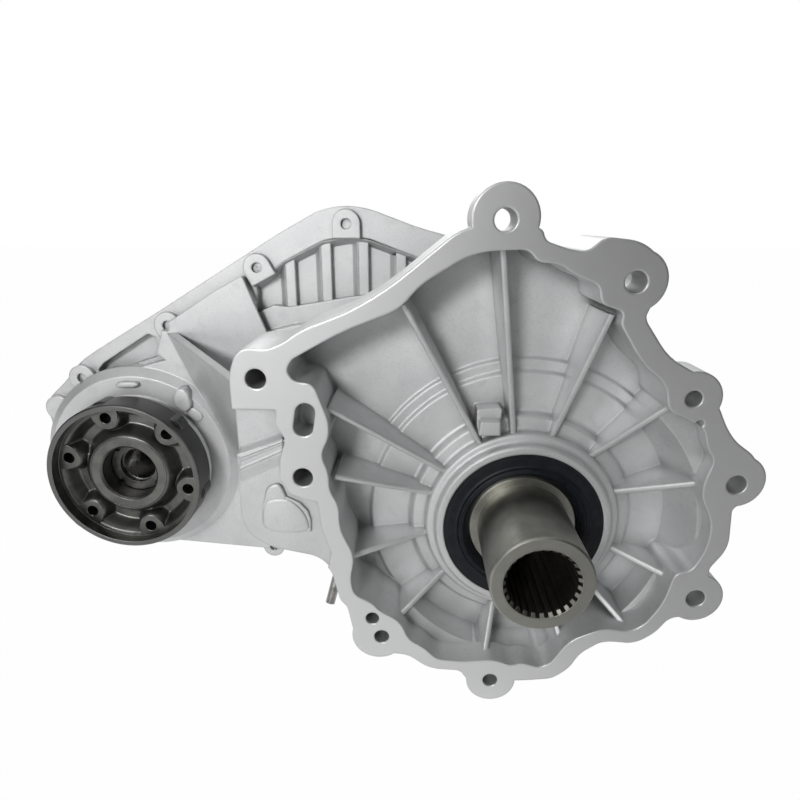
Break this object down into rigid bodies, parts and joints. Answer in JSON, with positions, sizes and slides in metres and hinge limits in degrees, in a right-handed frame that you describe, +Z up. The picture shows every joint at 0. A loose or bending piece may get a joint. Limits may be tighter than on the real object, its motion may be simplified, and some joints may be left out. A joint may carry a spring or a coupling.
{
  "type": "transfer case",
  "caption": "Full-time transfer case with a ribbed bell, a splined input tube, a planetary centre differential, an idler gear train, a front companion flange and a rear flange.",
  "frame": {"origin": "centre of the bell's mating face, on the input shaft's axis", "axes": "+Y along the shafts, from the gearbox towards the rear output; +Z up as in the picture; +X to the viewer's right, so the front output lies at -X"},
  "size_m": [0.4653, 0.3197, 0.3012],
  "materials": {
    "cast_aluminium": "bead-blasted casting",
    "seal_rubber": "moulded",
    "bearing_steel": "ground",
    "gear_steel": "ground case-hardened",
    "shaft_steel": "turned",
    "zinc_fastener": "zinc plated",
    "flange_steel": "machined forging",
    "spring_steel": "black oxide",
    "nipple_steel": "plated"
  },
  "bodies": {
    "case": {"front_housing": "cast_aluminium", "rear_housing": "cast_aluminium", "extension_housing": "cast_aluminium", "input_seal": "seal_rubber", "front_output_seal": "seal_rubber", "rear_output_seal": "seal_rubber", "input_bearing_outer": "bearing_steel", "sleeve_front_bearing_outer": "bearing_steel", "sleeve_rear_bearing_outer": "bearing_steel", "front_output_bearing_outer": "bearing_steel", "front_output_rear_bearing_outer": "bearing_steel", "rear_output_bearing_outer": "bearing_steel", "idler_pin": "shaft_steel", "idler_bearing_inners": "bearing_steel", "case_bolts": "zinc_fastener", "case_dowels": "shaft_steel", "extension_bolts": "zinc_fastener", "fill_plug": "zinc_fastener", "drain_plug": "zinc_fastener", "input_bearing_clip": "spring_steel", "vent_nipple": "nipple_steel"},
    "drive": {"drive_gear": "gear_steel", "sleeve_front_bearing_inner": "bearing_steel", "sleeve_front_bearing_balls": "bearing_steel", "sleeve_rear_bearing_inner": "bearing_steel", "sleeve_rear_bearing_balls": "bearing_steel"},
    "input": {"input_shaft": "shaft_steel", "planet_carrier": "shaft_steel", "planet_pins": "shaft_steel", "carrier_circlip": "spring_steel", "input_bearing_inner": "bearing_steel", "input_bearing_balls": "bearing_steel"},
    "rear_output": {"ring_gear": "gear_steel", "rear_output_shaft": "shaft_steel", "rear_output_flange": "flange_steel", "rear_flange_nut": "zinc_fastener", "rear_output_bearing_inner": "bearing_steel", "rear_output_bearing_balls": "bearing_steel"},
    "planet_1": {"planet_gear_1": "gear_steel"},
    "planet_2": {"planet_gear_2": "gear_steel"},
    "planet_3": {"planet_gear_3": "gear_steel"},
    "idler": {"idler_gear": "gear_steel", "idler_bearing_outers": "bearing_steel", "idler_bearing_balls": "bearing_steel"},
    "front_output": {"driven_gear": "gear_steel", "front_output_shaft": "shaft_steel", "front_output_flange": "flange_steel", "front_flange_nut": "zinc_fastener", "front_output_bearing_inner": "bearing_steel", "front_output_bearing_balls": "bearing_steel", "front_output_rear_bearing_inner": "bearing_steel", "front_output_rear_bearing_balls": "bearing_steel"}
  },
  "joints": [
    {"name": "front_drive_spin", "type": "hinge", "parent": "case", "child": "drive", "pos_m": [0, 0.145, 0], "axis": [0, 1, 0], "continuous": true},
    {"name": "idler_spin", "type": "hinge", "parent": "case", "child": "idler", "pos_m": [-0.13422, 0.145, 0.01447], "axis": [0, 1, 0], "continuous": true},
    {"name": "front_output_spin", "type": "hinge", "parent": "case", "child": "front_output", "pos_m": [-0.2687, 0.145, 0.0026], "axis": [0, 1, 0], "continuous": true},
    {"name": "input_spin", "type": "hinge", "parent": "drive", "child": "input", "pos_m": [0, 0.1, 0], "axis": [0, 1, 0], "continuous": true},
    {"name": "rear_output_spin", "type": "hinge", "parent": "drive", "child": "rear_output", "pos_m": [0, 0.24, 0], "axis": [0, 1, 0], "continuous": true},
    {"name": "planet_1_spin", "type": "hinge", "parent": "input", "child": "planet_1", "pos_m": [0, 0.193, 0.0405], "axis": [0, 1, 0], "continuous": true},
    {"name": "planet_2_spin", "type": "hinge", "parent": "input", "child": "planet_2", "pos_m": [-0.03507, 0.193, -0.02025], "axis": [0, 1, 0], "continuous": true},
    {"name": "planet_3_spin", "type": "hinge", "parent": "input", "child": "planet_3", "pos_m": [0.03507, 0.193, -0.02025], "axis": [0, 1, 0], "continuous": true}
  ],
  "couplings": [
    {"joint": "idler_spin", "follows": "front_drive_spin", "ratio": -0.6875},
    {"joint": "front_output_spin", "follows": "front_drive_spin", "ratio": 1},
    {"joint": "rear_output_spin", "follows": "input_spin", "ratio": 1.44},
    {"joint": "planet_1_spin", "follows": "input_spin", "ratio": 1.5714},
    {"joint": "planet_2_spin", "follows": "input_spin", "ratio": 1.5714},
    {"joint": "planet_3_spin", "follows": "input_spin", "ratio": 1.5714}
  ]
}
